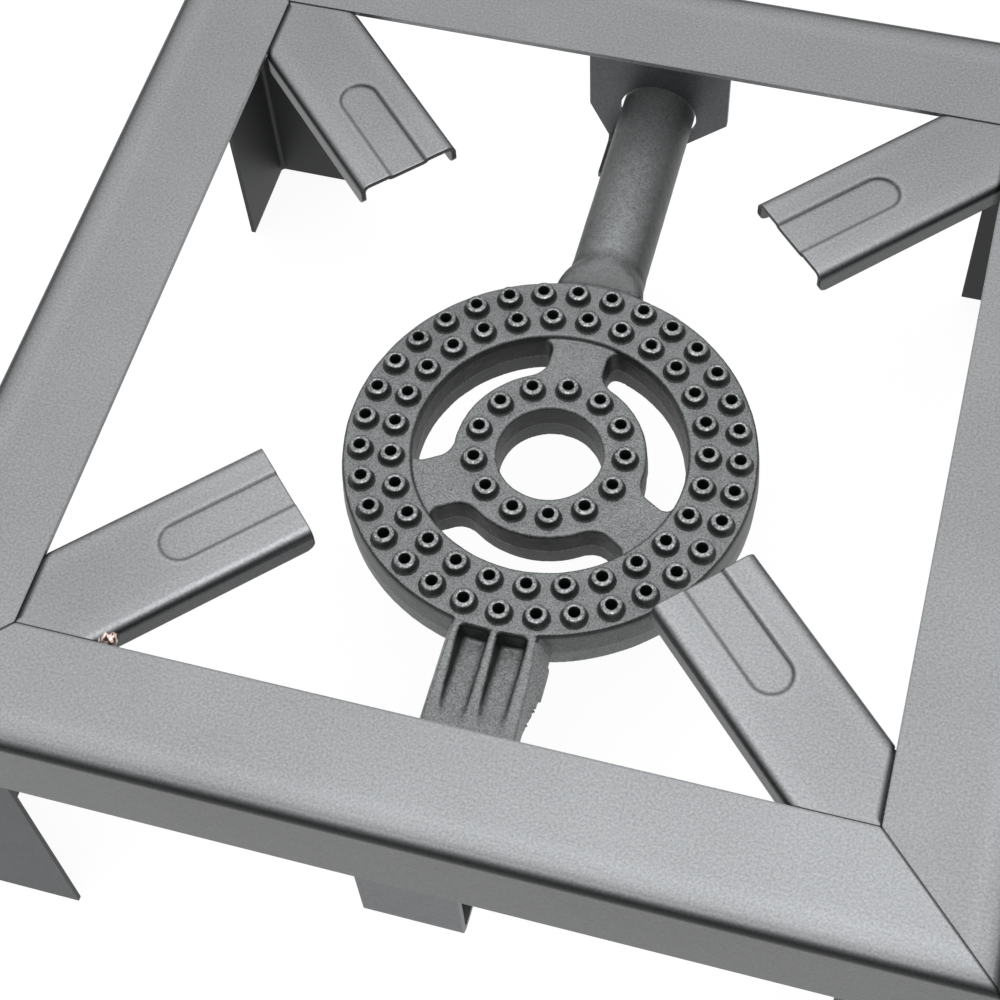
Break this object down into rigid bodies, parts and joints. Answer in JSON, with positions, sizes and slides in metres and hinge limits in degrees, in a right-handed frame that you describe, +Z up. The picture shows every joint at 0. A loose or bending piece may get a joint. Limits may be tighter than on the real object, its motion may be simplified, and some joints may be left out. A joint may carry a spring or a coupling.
{
  "type": "gas burner",
  "caption": "Cast iron double-ring gas burner in a square steel frame on four folded legs, with pan supports, an air shutter and a brass tap with a knob.",
  "frame": {"origin": "on the surface it stands on, under the middle of its outline from the front rail to the end of the hose tail", "axes": "+Z up, +Y from the ribbed arm towards the gas tap and hose tail, +X to the right as seen from the ribbed arm's side"},
  "size_m": [0.4, 0.499, 0.17],
  "materials": {
    "frame_sheet": "satin grey rolled sheet with a fine metallic grain, darker along the folds",
    "leg_sheet": "the same grey sheet, duller inside the folds",
    "hanger_steel": "thicker grey flat bar, folded",
    "burner_iron": "sand-cast grey iron, coarse skin, machined nozzle tips",
    "zinc_fasteners": "bright zinc plate",
    "spring_steel": "bright spring steel",
    "shutter_steel": "pressed and plated steel",
    "gas_brass": "turned and drawn brass, lightly dulled",
    "knob_plastic": "moulded black heat-resistant plastic",
    "seal_rubber": "black nitrile rubber"
  },
  "bodies": {
    "root": {"front_rail": "frame_sheet", "right_rail": "frame_sheet", "rear_rail": "frame_sheet", "left_rail": "frame_sheet", "support_front_left": "frame_sheet", "support_front_right": "frame_sheet", "support_rear_right": "frame_sheet", "support_rear_left": "frame_sheet", "leg_front_left": "leg_sheet", "leg_front_right": "leg_sheet", "leg_rear_right": "leg_sheet", "leg_rear_left": "leg_sheet", "front_hanger": "hanger_steel", "rear_hanger": "hanger_steel", "burner_casting": "burner_iron", "arm_bolt": "zinc_fasteners", "arm_washer": "zinc_fasteners", "arm_nut": "zinc_fasteners", "tube_bolt": "zinc_fasteners", "tube_washer": "zinc_fasteners", "injector_holder": "gas_brass", "injector": "gas_brass", "wave_washer": "spring_steel", "tap_body": "gas_brass", "tap_bonnet": "gas_brass", "inlet_seal": "seal_rubber", "union_nut": "gas_brass", "hose_tail": "gas_brass"},
    "shutter": {"air_shutter": "shutter_steel"},
    "plug": {"tap_plug": "gas_brass", "plug_spring": "spring_steel"},
    "knob": {"tap_knob": "knob_plastic", "tap_spindle": "gas_brass"}
  },
  "joints": [
    {"name": "shutter_turn", "type": "hinge", "parent": "root", "child": "shutter", "pos_m": [0, 0.16455, 0.0925], "axis": [0, 1, 0], "range_deg": [0, 60]},
    {"name": "tap_turn", "type": "hinge", "parent": "root", "child": "plug", "pos_m": [0, 0.1965, 0.0925], "axis": [0, 0, 1], "range_deg": [0, 90]},
    {"name": "knob_push", "type": "slide", "parent": "plug", "child": "knob", "axis": [0, 0, -1], "range_m": [0, 0.003], "stiffness_N_per_m": 800, "springref_m": -0.003, "deforming": ["plug_spring"]}
  ]
}
